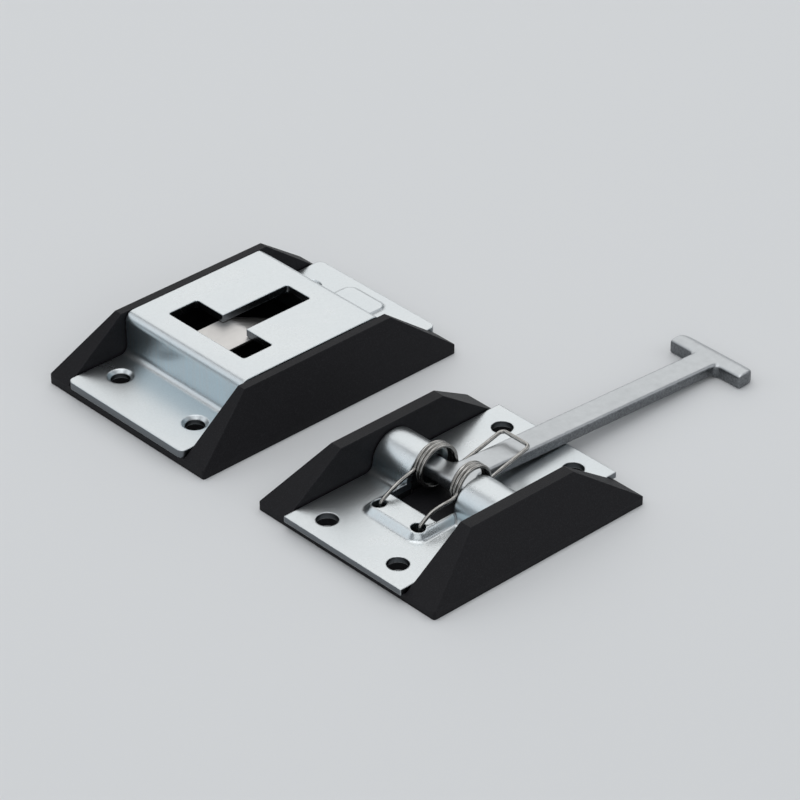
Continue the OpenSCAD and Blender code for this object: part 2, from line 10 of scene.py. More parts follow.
import bpy
import numpy as np
from bpy.props import FloatProperty, FloatVectorProperty, IntProperty, PointerProperty
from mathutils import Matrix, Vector


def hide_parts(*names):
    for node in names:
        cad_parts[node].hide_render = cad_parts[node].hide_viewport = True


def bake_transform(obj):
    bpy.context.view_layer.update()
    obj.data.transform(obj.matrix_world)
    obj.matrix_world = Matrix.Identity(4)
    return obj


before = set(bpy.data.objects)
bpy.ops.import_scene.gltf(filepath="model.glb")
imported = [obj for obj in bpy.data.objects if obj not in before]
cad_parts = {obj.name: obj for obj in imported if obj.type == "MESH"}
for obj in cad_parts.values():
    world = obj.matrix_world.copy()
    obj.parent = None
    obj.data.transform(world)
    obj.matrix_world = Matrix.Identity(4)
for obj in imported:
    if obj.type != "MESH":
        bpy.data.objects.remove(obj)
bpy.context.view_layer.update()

bl_info = {
    "name": "Trailer door holder",
    "version": (1, 0, 0),
    "blender": (4, 5, 0),
    "location": "View3D > Sidebar > Door holder",
    "description": "Dresses the zinc plates, T-bar, springs and moulded frames of a trailer door holder",
    "category": "Object",
}

MM = 0.001
FULL_TURN = 2 * math.pi

# Points along the stretches of the wire's path and of the leaf's middle line.
ARM_STEPS, COIL_STEPS, LEG_STEPS = 24, 600, 16
CREST_STEPS, BEND_STEPS, RAMP_STEPS, TAIL_STEPS, EDGE_STEPS = 30, 14, 40, 24, 6
# Knots of a leg from coil to hole: shares of the way forward and sideways, and height in coil radii.
LEG_KNOTS = ((0.07, 0.0, 0.06), (0.22, 0.0, -0.015), (0.46, 0.5, -0.08), (0.73, 1.0, -0.23))
# Last part of the coil that guides the curve into the leg.
LEG_LEAD = math.radians(12)
# Where the wire runs this nearly across the T-bar, its ring takes its first axis from a neighbour.
ACROSS = 0.05

# Modifiers: reach of a weld in metres, folds in radians.
SHEET_WELD, CAST_WELD = 2e-5, 1e-6
FLAT_FOLD, SHARP_FOLD = math.radians(0.05), math.radians(32)
ROUND_STEPS = 3
RELAX_SHARE = 0.5
# The least fold that is rounded on each solid, above those whose short edges leave a rounding no room.
ROUND_FOLD = {"hook_frame": math.radians(28), "keeper_frame": math.radians(40), "keeper_plate": math.radians(60)}

# Colour sockets of a Mix node, and how much finer the second noise of the grain is.
MIX_A, MIX_B, MIX_OUT = 6, 7, 2
FINER = 3.1

# The floor lies just under the part, so that the two never share a plane.
FLOOR_DROP = 0.00005
SKY_TINT = (0.90, 0.95, 1.0, 1.0)
FAR_CLIP = 50.0
LAMP_AIM = (0.03, 0.05, 0.0)
# Place, width in metres, power in watts and tint of each soft lamp.
LAMPS = {
    "key": ((0.95, 1.05, 1.05), 2.0, 11.0, (1.0, 0.99, 0.97)),
    "top": ((-0.1, 0.1, 1.5), 1.2, 6.5, (1.0, 1.0, 1.0)),
    "front": ((-1.05, -1.15, 0.85), 1.7, 7.0, (1.0, 0.99, 0.98)),
    "right": ((1.1, -0.95, 0.75), 1.4, 4.5, (0.98, 0.99, 1.0)),
    "side": ((-0.85, 0.95, 0.85), 1.1, 2.9, (0.96, 0.98, 1.0)),
}


def length(name, description, default):
    """A length in millimetres as a property in metres."""
    return FloatProperty(name=name, description=description, default=default * MM, unit="LENGTH", precision=5)


def colour(name, description, default):
    """A linear colour as a property."""
    return FloatVectorProperty(
        name=name, description=description, default=default, subtype="COLOR", size=3, min=0, max=1)


class SpringSizes(bpy.types.PropertyGroup):
    """Sizes of the double torsion spring, in the frame of the solids."""

    wire_d: length("Wire", "Diameter of the spring wire", 1.2)
    coil_r: length("Coil radius", "Mean radius of the coils", 6.4)
    coil_x: length("Coil place", "Centre of the coils along the T-bar", 0.5)
    coil_z: length("Coil height", "Centre of the coils over the mounting face", 10.4)
    coil_in: length("First turn", "Distance of the inmost turn from the middle plane", 5.5)
    turn_pitch: length("Pitch", "Advance of the wire in one turn", 1.25)
    coil_start: FloatProperty(
        name="Coil start", description="Where the arm joins its coil", default=math.radians(4), unit="ROTATION")
    coil_end: FloatProperty(
        name="Coil end", description="Where the leg leaves its coil", default=math.radians(888), unit="ROTATION")
    twist_span: FloatProperty(
        name="Twist span", description="Length of coil that takes up the T-bar's turn", default=math.radians(420),
        unit="ROTATION")
    bridge_x: length("Bridge place", "Bridge over the shank, from the hinge line", 25.0)
    bridge_z: length("Bridge height", "Bridge over the mounting face", 11.574)
    bridge_r: length("Bridge corner", "Radius between bridge and arm", 1.6)
    arm_drop: length("Arm drop", "Reach of the bend between arm and coil below the coil's axis", 2.8)
    bend_run: length("Arm bend", "Reach of the same bend behind the coil", 1.6)
    hole_x: length("Leg place", "Where a leg enters its hole, in front of the hinge line", 18.85)
    hole_y: length("Leg side", "Where a leg enters its hole, from the middle plane", 7.9)
    pad_z: length("Pad top", "Top of the spring pad over the mounting face", 6.7)
    pad_t: length("Pad sheet", "Sheet thickness of the pad", 1.9)
    leg_rise: length("Leg rise", "Height over the pad where a leg turns down", 0.3)
    leg_lean: length("Leg lean", "How far a leg leans forward in its hole", 1.0)
    leg_tip: length("Leg tip", "Lower end of a leg over the mounting face", 3.6)
    ring_step: length("Ring step", "Distance between rings of the wire's surface", 0.3)
    sides: IntProperty(name="Wire sides", description="Points round the wire", default=20, min=8)


class LeafSizes(bpy.types.PropertyGroup):
    """Sizes of the keeper's leaf spring, measured from the middle of the hat."""

    middle: FloatVectorProperty(
        name="Hat middle", description="Middle of the hat in the frame", default=(0.0068, 0.0914), size=2,
        unit="LENGTH")
    width: length("Width", "Width of the leaf", 14.2)
    thickness: length("Thickness", "Thickness of the leaf", 0.9)
    edge_r: length("Edge", "Radius of the leaf's edges", 0.22)
    crest_z: length("Crest height", "Middle of the flat crest over the mounting face", 15.65)
    tail_z: length("Tail height", "Middle of the tail over the mounting face", 3.3)
    front: length("Front end", "Front end of the crest, before the middle of the hat", 22.0)
    foot: length("Foot", "Foot of the slope, behind the middle of the hat", 24.9)
    tail_end: length("Tail end", "Rear end of the tail, behind the middle of the hat", 43.8)
    bend_r: length("Bend", "Mean radius of the two bends", 6.0)
    slope: FloatProperty(
        name="Slope", description="Slope behind the crest", default=math.radians(24), unit="ROTATION")


class Finishes(bpy.types.PropertyGroup):
    """Colours and edge sizes of the finishes."""

    plastic: colour("Plastic", "Matte moulded plastic", (0.0062, 0.0060, 0.0074))
    # Lighter plastic for the grain's flecks, and for edges that are rubbed and partly carry a painted highlight.
    plastic_fleck_and_highlight: colour("Plastic edge", "Plastic where its edges are rubbed", (0.026, 0.026, 0.030))
    zinc: colour("Zinc", "Bright zinc on the plates", (0.65, 0.675, 0.685))
    zinc_blue: colour("Blue zinc", "Zinc where the passivation shows blue", (0.56, 0.62, 0.66))
    # Painted reflection: a bluish tint that only upright faces take.
    zinc_upright_reflection: colour("Formed zinc", "Zinc on the bent and upright faces", (0.58, 0.70, 0.76))
    # Dull cut steel on sheared edges, darkened further as a painted dark reflection; also painted shade in
    # creases.
    zinc_cut_and_shade: colour("Cut zinc", "Dull zinc on sheared edges and in creases", (0.13, 0.135, 0.145))
    bar_zinc: colour("Bar zinc", "Zinc on the cast T-bar", (0.54, 0.56, 0.575))
    # Darker cast zinc in random patches, and painted shade on the bar's upright sides and in its creases.
    bar_dull_and_shade: colour("Bar shade", "Duller zinc in the grain of the casting", (0.105, 0.112, 0.120))
    wire: colour("Wire", "Drawn spring wire", (0.56, 0.55, 0.53))
    wire_dark: colour("Wire shade", "Darker streaks along the wire", (0.22, 0.212, 0.20))
    leaf: colour("Leaf", "Spring steel of the leaf", (0.64, 0.625, 0.61))
    leaf_dark: colour("Leaf shade", "Duller patches of the leaf", (0.48, 0.465, 0.45))
    floor: colour("Floor", "Plain pale floor", (0.72, 0.73, 0.74))
    sheet_edge: length("Sheet edge", "Softened edge of the hat plate", 0.22)
    sheet_round: length("Sheet rounding", "Reach over which the plates' edges shade softly", 0.6)
    hinge_sheet_top: length("Hinge sheet top", "Top of the hinge plate's flat sheet", 4.3)
    flange_top: length("Flange top", "Top of the hat's flanges", 5.3)
    slot_middle: length("Slot middle", "Middle of the hat along the T-bar", 6.8)
    slot_half: length("Slot half", "Half length that holds the slot's sheared edges", 20.0)
    mould_edge: length("Moulded edge", "Softened edge of the plastic frames", 0.35)
    cast_skin: length("Cast skin", "Face size of the T-bar's skin", 0.25)
    cast_passes: IntProperty(name="Cast passes", description="How often the T-bar's edges are relaxed", default=40)


class StageSizes(bpy.types.PropertyGroup):
    """Camera and light of the plain studio."""

    camera: FloatVectorProperty(
        name="Camera", description="Place of the camera", default=(-0.6080, -0.6328, 0.6106), subtype="XYZ",
        unit="LENGTH")
    target: FloatVectorProperty(
        name="Target", description="Point in the middle of the picture", default=(0.0264, 0.0494, 0.0),
        subtype="XYZ", unit="LENGTH")
    lens: FloatProperty(name="Lens", description="Focal length in millimetres", default=172.54)
    sensor: FloatProperty(name="Sensor", description="Sensor width in millimetres", default=36.0)
    floor_half: FloatProperty(name="Floor", description="Half width of the floor", default=4.0, unit="LENGTH")
    sky: FloatProperty(name="Sky", description="Strength of the even light", default=0.30)


# Shapes

def unit(v):
    """Vectors of length one, along the last axis of an array."""
    return v / np.linalg.norm(v, axis=-1, keepdims=True)


def arc_length(path):
    """Distance along a path at each of its points."""
    return np.concatenate([[0.0], np.cumsum(np.linalg.norm(np.diff(path, axis=0), axis=1))])


def resample(path, share, step):
    """The same path and a value along it, at even steps of arc length."""
    way = arc_length(path)
    even = np.linspace(0, way[-1], int(round(way[-1] / step)) + 1)
    points = np.stack([np.interp(even, way, path[:, k]) for k in range(3)], axis=1)
    return points, np.interp(even, way, share)


def quads(rows, cols):
    """Faces of a grid of rows by cols points whose columns close on themselves."""
    r, c = np.meshgrid(np.arange(rows - 1), np.arange(cols), indexing="ij")
    n = (c + 1) % cols
    return np.stack([r * cols + c, r * cols + n, (r + 1) * cols + n, (r + 1) * cols + c], axis=-1).reshape(-1, 4)


def ring_surface(name, rings, uv_scale):
    """A closed surface through rings of points, with a fan over the first and the last ring.

    rings is an array of rows, columns and three coordinates. The caps meet at the middle of their rings.
    """
    rows, cols, _ = rings.shape
    ends = np.stack([rings[0].mean(axis=0), rings[-1].mean(axis=0)])
    points = np.concatenate([rings.reshape(-1, 3), ends])
    body = quads(rows, cols)
    c = np.arange(cols)
    n = (c + 1) % cols
    first = np.stack([np.full(cols, rows * cols), n, c], axis=1)
    last = np.stack([np.full(cols, rows * cols + 1), (rows - 1) * cols + c, (rows - 1) * cols + n], axis=1)
    mesh = bpy.data.meshes.new(name)
    mesh.from_pydata(points.tolist(), [], body.tolist() + first.tolist() + last.tolist())
    mesh.validate()
    lay_uv(mesh, rings, uv_scale)
    mesh.polygons.foreach_set("use_smooth", np.ones(len(mesh.polygons), dtype=bool))
    mesh.update()
    piece = bpy.data.objects.new(name, mesh)
    bpy.context.scene.collection.objects.link(piece)
    return piece


def lay_uv(mesh, rings, uv_scale):
    """A map with U as the distance along the rings' middles and V as the share of the way round."""
    rows, cols, _ = rings.shape
    way = arc_length(rings.mean(axis=1)) * uv_scale
    u = np.concatenate([np.repeat(way, cols), way[[0, -1]]])
    v = np.concatenate([np.tile(np.arange(cols) / cols, rows), [0.0, 0.0]])
    corner = np.zeros(len(mesh.loops), dtype=np.int32)
    mesh.loops.foreach_get("vertex_index", corner)
    place = np.stack([u[corner], v[corner]], axis=1)
    seam = np.zeros(len(mesh.loops), dtype=bool)
    seam[: 4 * cols * (rows - 1)] = np.tile(
        np.repeat(np.arange(cols) == cols - 1, 4), rows - 1)
    place[:, 1] = np.where(seam & (place[:, 1] == 0), 1.0, place[:, 1])
    layer = mesh.uv_layers.new(name="along")
    layer.data.foreach_set("uv", place.astype(np.float32).ravel())


def spline(keys, steps):
    """Points on a Catmull-Rom curve: a cubic between each two keys, with slopes from their neighbours."""
    padded = np.concatenate([keys[:1], keys, keys[-1:]])
    t = np.linspace(0, 1, steps, endpoint=False)[None, :, None]
    a, b, c, d = (padded[k: k + len(keys) - 1][:, None, :] for k in range(4))
    curve = 0.5 * (2 * b + (c - a) * t + (2 * a - 5 * b + 4 * c - d) * t ** 2 + (3 * b - a - 3 * c + d) * t ** 3)
    return np.concatenate([curve.reshape(-1, 3), keys[-1:]])


def coil_point(s, angle):
    """Helix of the coil: a circle in the lengthwise plane that moves outward by one pitch a turn."""
    turn = (angle - s.coil_start) / FULL_TURN
    return np.stack([s.coil_x + s.coil_r * np.cos(angle), s.coil_in + s.turn_pitch * turn,
                     s.coil_z + s.coil_r * np.sin(angle)], axis=-1)


def half_wire(s):
    """One side of the wire from the middle of the bridge to the tip of its leg, with its share of the twist.

    Bridge and arm are a straight, a quarter circle and a straight. A parabola leads into the helix, and a
    smooth curve through a few knots leads from there into the hole. The bridge and arm take the whole turn
    of the T-bar, the leg takes none, and the first turns of the helix share it out on a smooth step.
    """
    start = coil_point(s, np.array(s.coil_start))
    way = np.array([-math.sin(s.coil_start), 0.0, math.cos(s.coil_start)])
    top = np.array([s.bridge_x, s.coil_in, s.bridge_z])
    low = np.array([s.coil_x + s.coil_r + s.bend_run, s.coil_in, s.coil_z - s.arm_drop])
    arm = unit(low - top)
    turn = np.radians(np.linspace(0, 90, ARM_STEPS))[:, None]
    middle = np.array([[s.bridge_x, 0.0, s.bridge_z]])
    side = np.array([0.0, 1.0, 0.0])
    corner = (top - s.bridge_r * side) + s.bridge_r * (np.sin(turn) * side + (1 - np.cos(turn)) * arm)
    t = np.linspace(0, 1, ARM_STEPS)[:, None]
    bend = (1 - t) ** 2 * low + 2 * t * (1 - t) * (start - s.arm_drop * way) + t ** 2 * start
    angle = np.linspace(s.coil_start, s.coil_end, COIL_STEPS)[1:]
    coil = coil_point(s, angle)
    front = s.coil_r - s.coil_x
    knots = np.array(LEG_KNOTS)
    out = coil[-1, 1]
    run = np.stack([-front - knots[:, 0] * (s.hole_x - front), out + knots[:, 1] * (s.hole_y - out),
                    s.coil_z + knots[:, 2] * s.coil_r], axis=1)
    down = np.array([[-s.hole_x, s.hole_y, s.pad_z + s.leg_rise],
                     [-s.hole_x - s.leg_lean * 2 / 3, s.hole_y, s.pad_z - s.pad_t / 2],
                     [-s.hole_x - s.leg_lean, s.hole_y, s.leg_tip]])
    keys = np.concatenate([coil_point(s, np.array([s.coil_end - LEG_LEAD, s.coil_end])), run, down])
    leg = spline(keys, LEG_STEPS)[LEG_STEPS + 1:]
    path = np.concatenate([middle, corner, bend, coil, leg])
    left = np.clip(1 - (angle - s.coil_start) / s.twist_span, 0, 1)
    share = np.concatenate([np.ones(len(middle) + len(corner) + len(bend)), left ** 2 * (3 - 2 * left),
                            np.zeros(len(leg))])
    return path, share


def wire_rings(s):
    """Rings of the whole wire and the twist share of each.

    A circle is carried along the path. Its first axis is square to the wire and to the width of the T-bar,
    and over the bridge, where those two run alike, it is the normal of the bridge's plane.
    """
    half, half_share = resample(*half_wire(s), s.ring_step)
    flip = np.array([1.0, -1.0, 1.0])
    path = np.concatenate([(half * flip)[:0:-1], half])
    share = np.concatenate([half_share[:0:-1], half_share])
    way = unit(np.gradient(path, axis=0))
    across = np.array([0.0, 1.0, 0.0])
    lay = np.cross(way, across) * np.where(np.arange(len(path)) < len(half), 1.0, -1.0)[:, None]
    flat = np.linalg.norm(lay, axis=1) < ACROSS
    near = lay[np.flatnonzero(~flat)[np.abs(np.flatnonzero(~flat) - len(half)).argmin()]]
    lay = unit(np.where(flat[:, None], near, lay))
    lay = unit(lay - np.sum(lay * way, axis=1)[:, None] * way)
    third = np.cross(way, lay)
    round_angle = np.arange(s.sides) / s.sides * FULL_TURN
    ring = np.cos(round_angle)[None, :, None] * lay[:, None] + np.sin(round_angle)[None, :, None] * third[:, None]
    return path[:, None] + s.wire_d / 2 * ring, share


def rounded_ring(half_w, half_t, r, steps):
    """Rounded rectangle: four quarter circles joined by straights, counted from the upper right corner."""
    angle = np.radians(np.linspace(0, 90, steps))
    corners = ((1, 1, 0), (-1, 1, 90), (-1, -1, 180), (1, -1, 270))
    arcs = [np.stack([w * (half_w - r) + r * np.cos(angle + math.radians(a)),
                      t * (half_t - r) + r * np.sin(angle + math.radians(a))], axis=1) for w, t, a in corners]
    return np.concatenate(arcs)


def leaf_line(s):
    """Middle line of the leaf in length and height: flat crest, circle, straight ramp, circle, flat tail."""
    turn = np.linspace(0, s.slope, BEND_STEPS)
    ramp = (s.crest_z - s.tail_z - 2 * s.bend_r * (1 - math.cos(s.slope))) / math.sin(s.slope)
    crest_end = s.foot - 2 * s.bend_r * math.sin(s.slope) - ramp * math.cos(s.slope)
    x = np.linspace(-s.front, crest_end, CREST_STEPS)[:-1]
    crest = np.stack([x, np.full_like(x, s.crest_z)], axis=1)
    upper = np.stack([crest_end + s.bend_r * np.sin(turn), s.crest_z - s.bend_r * (1 - np.cos(turn))], axis=1)
    lower = np.stack([s.foot - s.bend_r * np.sin(turn), s.tail_z + s.bend_r * (1 - np.cos(turn))], axis=1)[::-1]
    share = np.linspace(0, 1, RAMP_STEPS)[1:-1, None]
    x = np.linspace(s.foot, s.tail_end, TAIL_STEPS)[1:]
    tail = np.stack([x, np.full_like(x, s.tail_z)], axis=1)
    return np.concatenate([crest, upper, upper[-1] * (1 - share) + lower[0] * share, lower, tail])


def leaf_rings(s):
    """Rings of the leaf: a rounded rectangle carried along its middle line.

    At both ends the rectangle shrinks on a quarter circle, so the ends are as soft as the sides.
    """
    line = leaf_line(s)
    way = unit(np.gradient(line, axis=0))
    turn = np.radians(np.linspace(0, 90, EDGE_STEPS))
    back = s.edge_r * (1 - np.sin(turn))[:, None]
    inset = s.edge_r * (1 - np.cos(turn))
    ones = np.ones((len(turn), 1))
    middle = np.concatenate([line[0] + back[::-1] * way[0], line[1:-1], line[-1] - back * way[-1]])
    way = np.concatenate([ones * way[0], way[1:-1], ones * way[-1]])
    inset = np.concatenate([inset[::-1], np.zeros(len(line) - 2), inset])[:, None]
    section = rounded_ring(s.width / 2, s.thickness / 2, s.edge_r, EDGE_STEPS)
    wide = section[:, 0] * (1 - inset / (s.width / 2))
    high = section[:, 1] * (1 - inset / (s.thickness / 2))
    return np.stack([s.middle[0] + middle[:, :1] - way[:, 1:] * high, s.middle[1] + wide,
                     middle[:, 1:] + way[:, :1] * high], axis=-1)


# Finishes

def put(tree, kind, place=(0, 0), **values):
    """Adds a node and sets its sockets by name or its settings by attribute."""
    made = tree.nodes.new(kind)
    made.location = place
    for key, value in values.items():
        if hasattr(made, key):
            setattr(made, key, value)
        else:
            made.inputs[key.replace("_", " ")].default_value = value
    return made


def effect(name, inputs, outputs):
    """A shader node group with named number inputs and outputs, and its two end nodes."""
    tree = bpy.data.node_groups.new(name, "ShaderNodeTree")
    for label, value in inputs.items():
        socket = tree.interface.new_socket(label, in_out="INPUT", socket_type="NodeSocketFloat")
        socket.default_value = value
    for label in outputs:
        tree.interface.new_socket(label, in_out="OUTPUT", socket_type="NodeSocketFloat")
    return tree, put(tree, "NodeGroupInput", (-600, 0)), put(tree, "NodeGroupOutput", (600, 0))


def make_mottle():
    """Soft cloudy patches on object coordinates, from 0 to 1, with their size and contrast as inputs."""
    tree, given, result = effect("mottle", {"Scale": 60.0, "Spread": 0.25}, ["Value"])
    where = put(tree, "ShaderNodeTexCoord", (-400, 200))
    cloud = put(tree, "ShaderNodeTexNoise", (-200, 0), Detail=5.0, Roughness=0.6)
    low = put(tree, "ShaderNodeMath", (-200, -300), operation="SUBTRACT")
    high = put(tree, "ShaderNodeMath", (-200, -450), operation="ADD")
    low.inputs[0].default_value = 0.5
    high.inputs[0].default_value = 0.5
    span = put(tree, "ShaderNodeMapRange", (200, 0))
    tree.links.new(where.outputs["Object"], cloud.inputs["Vector"])
    tree.links.new(given.outputs["Scale"], cloud.inputs["Scale"])
    tree.links.new(given.outputs["Spread"], low.inputs[1])
    tree.links.new(given.outputs["Spread"], high.inputs[1])
    tree.links.new(cloud.outputs["Fac"], span.inputs["Value"])
    tree.links.new(low.outputs[0], span.inputs["From Min"])
    tree.links.new(high.outputs[0], span.inputs["From Max"])
    tree.links.new(span.outputs["Result"], result.inputs["Value"])
    return tree


def make_grain():
    """Fine grain: small noise with finer noise on it, as a height from 0 to 1."""
    tree, given, result = effect("grain", {"Scale": 3000.0, "Fine": 0.4}, ["Height"])
    where = put(tree, "ShaderNodeTexCoord", (-400, 200))
    coarse = put(tree, "ShaderNodeTexNoise", (-200, 100), Detail=2.0, Roughness=0.5)
    more = put(tree, "ShaderNodeMath", (-400, -200), operation="MULTIPLY")
    more.inputs[1].default_value = FINER
    fine = put(tree, "ShaderNodeTexNoise", (-200, -200), Detail=1.0, Roughness=0.5)
    both = put(tree, "ShaderNodeMix", (200, 0))
    tree.links.new(where.outputs["Object"], coarse.inputs["Vector"])
    tree.links.new(where.outputs["Object"], fine.inputs["Vector"])
    tree.links.new(given.outputs["Scale"], coarse.inputs["Scale"])
    tree.links.new(given.outputs["Scale"], more.inputs[0])
    tree.links.new(more.outputs[0], fine.inputs["Scale"])
    tree.links.new(given.outputs["Fine"], both.inputs["Factor"])
    tree.links.new(coarse.outputs["Fac"], both.inputs["A"])
    tree.links.new(fine.outputs["Fac"], both.inputs["B"])
    tree.links.new(both.outputs["Result"], result.inputs["Height"])
    return tree


def make_edge_wear_and_highlight():
    """Rubbed edges and painted highlight: how far a rounded normal leans from the surface's own, broken up by
    noise.
    """
    tree, given, result = effect("edge wear", {"Reach": 0.0006, "Break": 900.0}, ["Mask"])
    soft = put(tree, "ShaderNodeBevel", (-400, 100), samples=8)
    own = put(tree, "ShaderNodeNewGeometry", (-400, -100))
    lean = put(tree, "ShaderNodeVectorMath", (-200, 0), operation="DOT_PRODUCT")
    edge = put(tree, "ShaderNodeMapRange", (0, 0), From_Min=0.995, From_Max=0.86)
    where = put(tree, "ShaderNodeTexCoord", (-400, -350))
    noise = put(tree, "ShaderNodeTexNoise", (-200, -350), Detail=3.0)
    broken = put(tree, "ShaderNodeMapRange", (0, -350), From_Min=0.3, From_Max=0.62)
    both = put(tree, "ShaderNodeMath", (300, 0), operation="MULTIPLY")
    tree.links.new(given.outputs["Reach"], soft.inputs["Radius"])
    tree.links.new(soft.outputs["Normal"], lean.inputs[0])
    tree.links.new(own.outputs["Normal"], lean.inputs[1])
    tree.links.new(lean.outputs["Value"], edge.inputs["Value"])
    tree.links.new(where.outputs["Object"], noise.inputs["Vector"])
    tree.links.new(given.outputs["Break"], noise.inputs["Scale"])
    tree.links.new(noise.outputs["Fac"], broken.inputs["Value"])
    tree.links.new(edge.outputs["Result"], both.inputs[0])
    tree.links.new(broken.outputs["Result"], both.inputs[1])
    tree.links.new(both.outputs[0], result.inputs["Mask"])
    return tree


def make_streaks():
    """Fine lines along one direction: noise on coordinates that are squeezed across that direction."""
    tree, given, result = effect("streaks", {"Scale": 900.0, "Stretch": 0.03}, ["Height"])
    where = put(tree, "ShaderNodeTexCoord", (-600, 200))
    squeeze = put(tree, "ShaderNodeCombineXYZ", (-400, -100))
    squeeze.inputs["Y"].default_value = 1.0
    place = put(tree, "ShaderNodeVectorMath", (-200, 100), operation="MULTIPLY")
    lines = put(tree, "ShaderNodeTexNoise", (0, 0), Detail=4.0, Roughness=0.6)
    tree.links.new(given.outputs["Stretch"], squeeze.inputs["X"])
    tree.links.new(given.outputs["Stretch"], squeeze.inputs["Z"])
    tree.links.new(where.outputs["Object"], place.inputs[0])
    tree.links.new(squeeze.outputs[0], place.inputs[1])
    tree.links.new(place.outputs[0], lines.inputs["Vector"])
    tree.links.new(given.outputs["Scale"], lines.inputs["Scale"])
    tree.links.new(lines.outputs["Fac"], result.inputs["Height"])
    return tree


def make_cut_edge():
    """Sheared edges of a sheet: upright faces below a height, or within a length on each side of a middle."""
    tree, given, result = effect("cut edge", {"Low": 0.004, "Middle": 0.0, "Half": 0.0}, ["Mask"])
    where = put(tree, "ShaderNodeTexCoord", (-600, 0))
    lean = put(tree, "ShaderNodeSeparateXYZ", (-400, 200))
    place = put(tree, "ShaderNodeSeparateXYZ", (-400, -100))
    level = put(tree, "ShaderNodeMath", (-200, 200), operation="ABSOLUTE")
    upright = put(tree, "ShaderNodeMapRange", (0, 200), From_Min=0.2, From_Max=0.05)
    below = put(tree, "ShaderNodeMath", (-200, 0), operation="LESS_THAN")
    inside = put(tree, "ShaderNodeMath", (-200, -200), operation="COMPARE")
    either = put(tree, "ShaderNodeMath", (0, -100), operation="MAXIMUM")
    both = put(tree, "ShaderNodeMath", (300, 0), operation="MULTIPLY")
    tree.links.new(where.outputs["Normal"], lean.inputs[0])
    tree.links.new(where.outputs["Object"], place.inputs[0])
    tree.links.new(lean.outputs["Z"], level.inputs[0])
    tree.links.new(level.outputs[0], upright.inputs["Value"])
    tree.links.new(place.outputs["Z"], below.inputs[0])
    tree.links.new(given.outputs["Low"], below.inputs[1])
    tree.links.new(place.outputs["X"], inside.inputs[0])
    tree.links.new(given.outputs["Middle"], inside.inputs[1])
    tree.links.new(given.outputs["Half"], inside.inputs[2])
    tree.links.new(below.outputs[0], either.inputs[0])
    tree.links.new(inside.outputs[0], either.inputs[1])
    tree.links.new(upright.outputs["Result"], both.inputs[0])
    tree.links.new(either.outputs[0], both.inputs[1])
    tree.links.new(both.outputs[0], result.inputs["Mask"])
    return tree


def make_painted_crease_shade():
    """Painted shade in creases: where the piece's own surface closes in over a short reach."""
    tree, given, result = effect("painted_crease_shade", {"Reach": 0.0012}, ["Mask"])
    near = put(tree, "ShaderNodeAmbientOcclusion", (-200, 0), samples=8, only_local=True)
    deep = put(tree, "ShaderNodeMapRange", (100, 0), From_Min=0.985, From_Max=0.88)
    tree.links.new(given.outputs["Reach"], near.inputs["Distance"])
    tree.links.new(near.outputs["AO"], deep.inputs["Value"])
    tree.links.new(deep.outputs["Result"], result.inputs["Mask"])
    return tree


MAKERS = {"mottle": make_mottle, "grain": make_grain, "edge wear": make_edge_wear_and_highlight, "streaks": make_streaks,
          "cut edge": make_cut_edge, "painted_crease_shade": make_painted_crease_shade}


class Finish:
    """A material with one Principled shader, and the steps that its finish is put together from."""

    def __init__(self, name, **sockets):
        self.material = bpy.data.materials.new(name)
        self.material.use_nodes = True
        self.tree = self.material.node_tree
        self.shader = self.tree.nodes["Principled BSDF"]
        for label, value in sockets.items():
            self.shader.inputs[label.replace("_", " ")].default_value = value

    def use(self, name, output, **values):
        """Places a shared effect with its own values and gives back one output."""
        made = put(self.tree, "ShaderNodeGroup")
        made.node_tree = bpy.data.node_groups.get(name) or MAKERS[name]()
        for label, value in values.items():
            made.inputs[label].default_value = value
        return made.outputs[output]

    def span(self, value, low, high, start=0.0, end=1.0):
        """Takes a value from start to end onto low to high."""
        made = put(self.tree, "ShaderNodeMapRange", From_Min=start, From_Max=end, To_Min=low, To_Max=high)
        self.tree.links.new(value, made.inputs["Value"])
        return made.outputs["Result"]

    def times(self, a, b):
        """Product of two values."""
        made = put(self.tree, "ShaderNodeMath", operation="MULTIPLY")
        self.tree.links.new(a, made.inputs[0])
        self.tree.links.new(b, made.inputs[1])
        return made.outputs[0]

    def mix(self, share, a, b):
        """Mixes two colours by a share; each is a colour or a socket."""
        made = put(self.tree, "ShaderNodeMix", data_type="RGBA")
        self.tree.links.new(share, made.inputs["Factor"])
        for socket, value in ((made.inputs[MIX_A], a), (made.inputs[MIX_B], b)):
            if isinstance(value, bpy.types.NodeSocket):
                self.tree.links.new(value, socket)
            else:
                socket.default_value = (*value, 1.0)
        return made.outputs[MIX_OUT]

    def bump(self, height, distance, strength=1.0, under=None):
        """Turns a height into a normal, over another normal where one is given."""
        made = put(self.tree, "ShaderNodeBump", Strength=strength, Distance=distance)
        self.tree.links.new(height, made.inputs["Height"])
        if under is not None:
            self.tree.links.new(under, made.inputs["Normal"])
        return made.outputs["Normal"]

    def feed(self, **sockets):
        """Links outputs to the shader's sockets by name."""
        for label, output in sockets.items():
            self.tree.links.new(output, self.shader.inputs[label.replace("_", " ")])
        return self.material


def tone(base, factor):
    """A colour made lighter or darker by a factor, up to white."""
    return [min(1.0, c * factor) for c in base]


